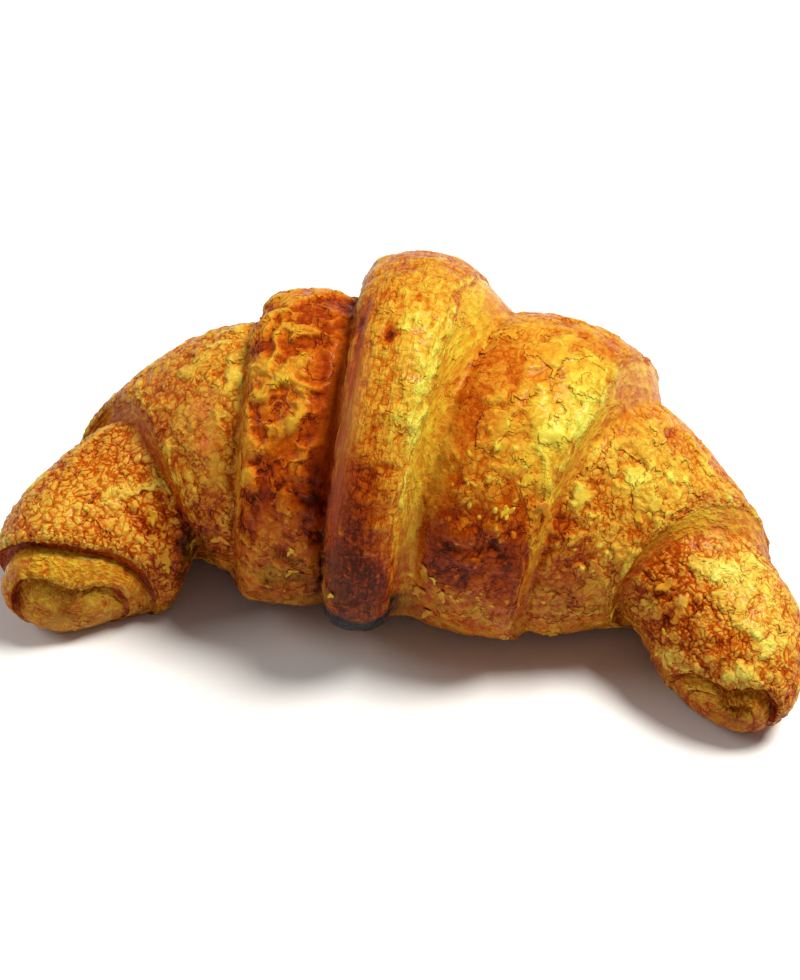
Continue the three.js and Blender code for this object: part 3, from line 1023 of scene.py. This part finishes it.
def flake_material(settings):
    """Thin flakes of crust, each baked to its own shade."""
    material, tree = empty_material("loose flake")
    shade = tree.add("ShaderNodeAttribute", attribute_name="shade").outputs["Fac"]
    place = tree.add("ShaderNodeTexCoord").outputs["Object"]
    spots = tree.noise(place, scale=900)
    bake = tree.math("ADD", shade, tree.math("MULTIPLY_ADD", spots, 0.4, -0.2))
    surface = tree.add("ShaderNodeBsdfPrincipled", {
        "Base Color": browning(tree, bake, settings), "Roughness": 0.35,
        "Specular IOR Level": 0.4, "Specular Tint": (*settings.shine, 1),
    })
    tree.add("ShaderNodeOutputMaterial", {"Surface": surface.outputs[0]})
    return material


def colour_property(name, description, default):
    return bpy.props.FloatVectorProperty(name=name, description=description, subtype="COLOR",
                                         size=3, min=0.0, max=1.0, default=default)


def length_property(name, description, default):
    return bpy.props.FloatProperty(name=name, description=description, unit="LENGTH",
                                   subtype="DISTANCE", min=0.0, default=default)


class CrustSettings(bpy.types.PropertyGroup):
    """The relief and the colours of the crust."""
    crackle_height: length_property("Crackle Height", "How far the islands of crust stand up", 0.00032)
    crackle_size: length_property("Crackle Size", "The width of an island of crust", 0.0020)
    wrinkle_height: length_property("Wrinkle Height", "How far the folds of skin stand up", 0.0009)
    wrinkle_size: length_property("Wrinkle Size", "The distance between folds of skin", 0.011)
    blister_height: length_property("Blister Height", "How far the bubbles stand up", 0.0006)
    blister_size: length_property("Blister Size", "The distance between bubbles", 0.0062)
    skin_height: length_property("Skin Height", "How far the torn skin stands up", 0.00025)
    bead_height: length_property("Bead Height", "How far the small beads stand up", 0.00045)
    pale: colour_property("Pale", "The palest crust", (0.68, 0.61, 0.07))
    yellow: colour_property("Yellow", "The lightly baked crust", (0.62, 0.385, 0.022))
    gold: colour_property("Gold", "The crust as it mostly is", (0.56, 0.225, 0.014))
    amber: colour_property("Amber", "The well baked crust", (0.44, 0.084, 0.003))
    red_brown: colour_property("Red Brown", "The deeply baked crust", (0.27, 0.028, 0.002))
    char: colour_property("Char", "The darkest places", (0.065, 0.007, 0.001))
    olive_gold: colour_property("Olive Gold", "The smooth lower flanks", (0.42, 0.21, 0.014))
    # Painted reflection: the purple sheen of a soft light on the smooth crust
    painted_sheen_purple: colour_property("Painted Sheen Purple", "Painted sheen on the skin beside some lips", (0.40, 0.095, 0.045))
    # Partly painted: a pale dry bloom that also paints the whitish sheen of the lighter islands
    dry_and_sheen: colour_property("Dry and Sheen", "The parched islands of the crackle, with a painted whitish sheen", (0.80, 0.60, 0.26))
    # Painted shadow: blue-black under the end of the middle band, over its darkly baked foot
    burnt_foot_shadow: colour_property("Burnt Foot Shadow", "Painted shadow under the end of the middle band, over its darkly baked foot", (0.006, 0.010, 0.014))
    shine: colour_property("Shine", "The tint of the highlights", (1.0, 0.45, 0.12))


class FlakeSettings(bpy.types.PropertyGroup):
    """The loose flakes."""
    density: bpy.props.FloatProperty(name="Density", min=0.0, default=42000.0,
                                     description="Flakes per square metre of flaky crust")
    seed: bpy.props.IntProperty(name="Seed", description="Where the flakes fall", min=0, default=4)


class StageSettings(bpy.types.PropertyGroup):
    """The floor and the camera."""
    floor_colour: colour_property("Floor", "The colour of the floor", (0.86, 0.86, 0.86))
    floor_size: length_property("Floor Size", "The width of the floor", 6.0)
    camera_distance: length_property("Camera Distance", "From the camera to the croissant", 0.48)


class CRUST_OT_make(bpy.types.Operator):
    """Makes the crust: the log with its bands, lips, layers and relief"""
    bl_idname = "croissant.make_crust"
    bl_label = "Make Crust"

    def execute(self, context):
        settings = context.scene.croissant_crust
        crust = link_object("crust", build_crust_mesh())
        sizes = {name: getattr(settings, name.lower().replace(" ", "_")) for name in RELIEF_SIZES}
        apply_nodes(crust, relief_tree(), {**sizes, "Material": crust_material(settings)})
        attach(crust, "root")
        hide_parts(NODE)
        return {"FINISHED"}


class FLAKES_OT_make(bpy.types.Operator):
    """Makes the loose flakes that lie on the crust"""
    bl_idname = "croissant.make_flakes"
    bl_label = "Make Flakes"

    def execute(self, context):
        crust = bpy.data.objects.get("crust")
        if crust is None:
            raise RuntimeError("The flakes lie on the crust, so the crust is made first")
        settings = context.scene.croissant_flakes
        leaf = link_object("flake", flake_mesh())
        flakes = link_object("flakes", crust.data.copy())
        apply_nodes(flakes, flake_tree(), {
            "Flake": leaf, "Flakes per Square Metre": settings.density, "Seed": settings.seed,
            "Material": flake_material(context.scene.croissant_crust),
        })
        bpy.data.meshes.remove(leaf.data)
        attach(flakes, "root")
        return {"FINISHED"}


# The photograph's camera: where it stands, in degrees, and the point that it looks at, in metres
CAMERA_SIDE = 8
CAMERA_HEIGHT = 42
CAMERA_ROLL = 2.46
CAMERA_TARGET = (-0.0053, 0.0110, 0.0101)
LENS = 85
SENSOR = 36

# The studio lights: their places and widths in metres, their power in watts and their colours
LIGHTS = {
    "key light": ((0.42, 0.12, 0.93), 0.4, 15, (1.0, 0.97, 0.9)),
    "left light": ((-0.9, -0.15, 0.7), 0.6, 4.4, (1.0, 0.97, 0.92)),
}
WORLD_STRENGTH = 0.15


def make_camera(settings):
    """The camera, at the photograph's angle."""
    side, height = math.radians(CAMERA_SIDE), math.radians(CAMERA_HEIGHT)
    level = math.cos(height)
    back = Vector((math.sin(side) * level, -math.cos(side) * level, math.sin(height)))
    data = bpy.data.cameras.new("camera")
    data.lens = LENS
    data.sensor_width = SENSOR
    camera = link_object("camera", data)
    look = back.to_track_quat("Z", "Y").to_matrix()
    roll = math.radians(CAMERA_ROLL)
    camera.rotation_euler = (look @ Matrix.Rotation(roll, 3, "Z")).to_euler()
    camera.location = Vector(CAMERA_TARGET) + back * settings.camera_distance
    bpy.context.scene.camera = camera


def make_floor(settings):
    """The plain pale floor."""
    half = settings.floor_size / 2
    mesh = bpy.data.meshes.new("floor")
    corners = [(-half, -half, 0), (half, -half, 0), (half, half, 0), (-half, half, 0)]
    mesh.from_pydata(corners, [], [(0, 1, 2, 3)])
    floor = link_object("floor", mesh)
    material = bpy.data.materials.new("pale floor")
    material.use_nodes = True
    shader = material.node_tree.nodes["Principled BSDF"]
    shader.inputs["Base Color"].default_value = (*settings.floor_colour, 1)
    shader.inputs["Roughness"].default_value = 0.9
    mesh.materials.append(material)


def make_light(name, place, size, power, colour):
    """A round soft light that faces the croissant."""
    data = bpy.data.lights.new(name, "AREA")
    data.shape = "DISK"
    data.size = size
    data.energy = power
    data.color = colour
    light = link_object(name, data)
    light.location = place
    light.rotation_euler = Vector(place).to_track_quat("Z", "Y").to_euler()


class STAGE_OT_make(bpy.types.Operator):
    """Makes the camera, the pale floor and the studio light"""
    bl_idname = "croissant.make_stage"
    bl_label = "Make Stage"

    def execute(self, context):
        settings = context.scene.croissant_stage
        make_camera(settings)
        make_floor(settings)
        for name, values in LIGHTS.items():
            make_light(name, *values)
        world = bpy.data.worlds.new("studio")
        world.use_nodes = True
        background = world.node_tree.nodes["Background"]
        background.inputs["Color"].default_value = (1, 1, 1, 1)
        background.inputs["Strength"].default_value = WORLD_STRENGTH
        context.scene.world = world
        context.scene.view_settings.view_transform = "Standard"
        return {"FINISHED"}


class CROISSANT_PT_panel(bpy.types.Panel):
    bl_label = "Croissant"
    bl_idname = "CROISSANT_PT_panel"
    bl_space_type = "VIEW_3D"
    bl_region_type = "UI"
    bl_category = "Croissant"

    def draw(self, context):
        for settings, operator in ((context.scene.croissant_crust, CRUST_OT_make),
                                   (context.scene.croissant_flakes, FLAKES_OT_make),
                                   (context.scene.croissant_stage, STAGE_OT_make)):
            box = self.layout.box()
            for name in settings.__annotations__:
                box.prop(settings, name)
            box.operator(operator.bl_idname)


SETTINGS = {
    "croissant_crust": CrustSettings,
    "croissant_flakes": FlakeSettings,
    "croissant_stage": StageSettings,
}
CLASSES = (*SETTINGS.values(), CRUST_OT_make, FLAKES_OT_make, STAGE_OT_make, CROISSANT_PT_panel)


def register():
    for cls in CLASSES:
        bpy.utils.register_class(cls)
    for name, kind in SETTINGS.items():
        setattr(bpy.types.Scene, name, bpy.props.PointerProperty(type=kind))


def unregister():
    for name in SETTINGS:
        delattr(bpy.types.Scene, name)
    for cls in reversed(CLASSES):
        bpy.utils.unregister_class(cls)


def main():
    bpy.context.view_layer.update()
    register()
    bpy.ops.croissant.make_stage()
    bpy.ops.croissant.make_crust()
    bpy.ops.croissant.make_flakes()


if __name__ == "__main__":
    main()
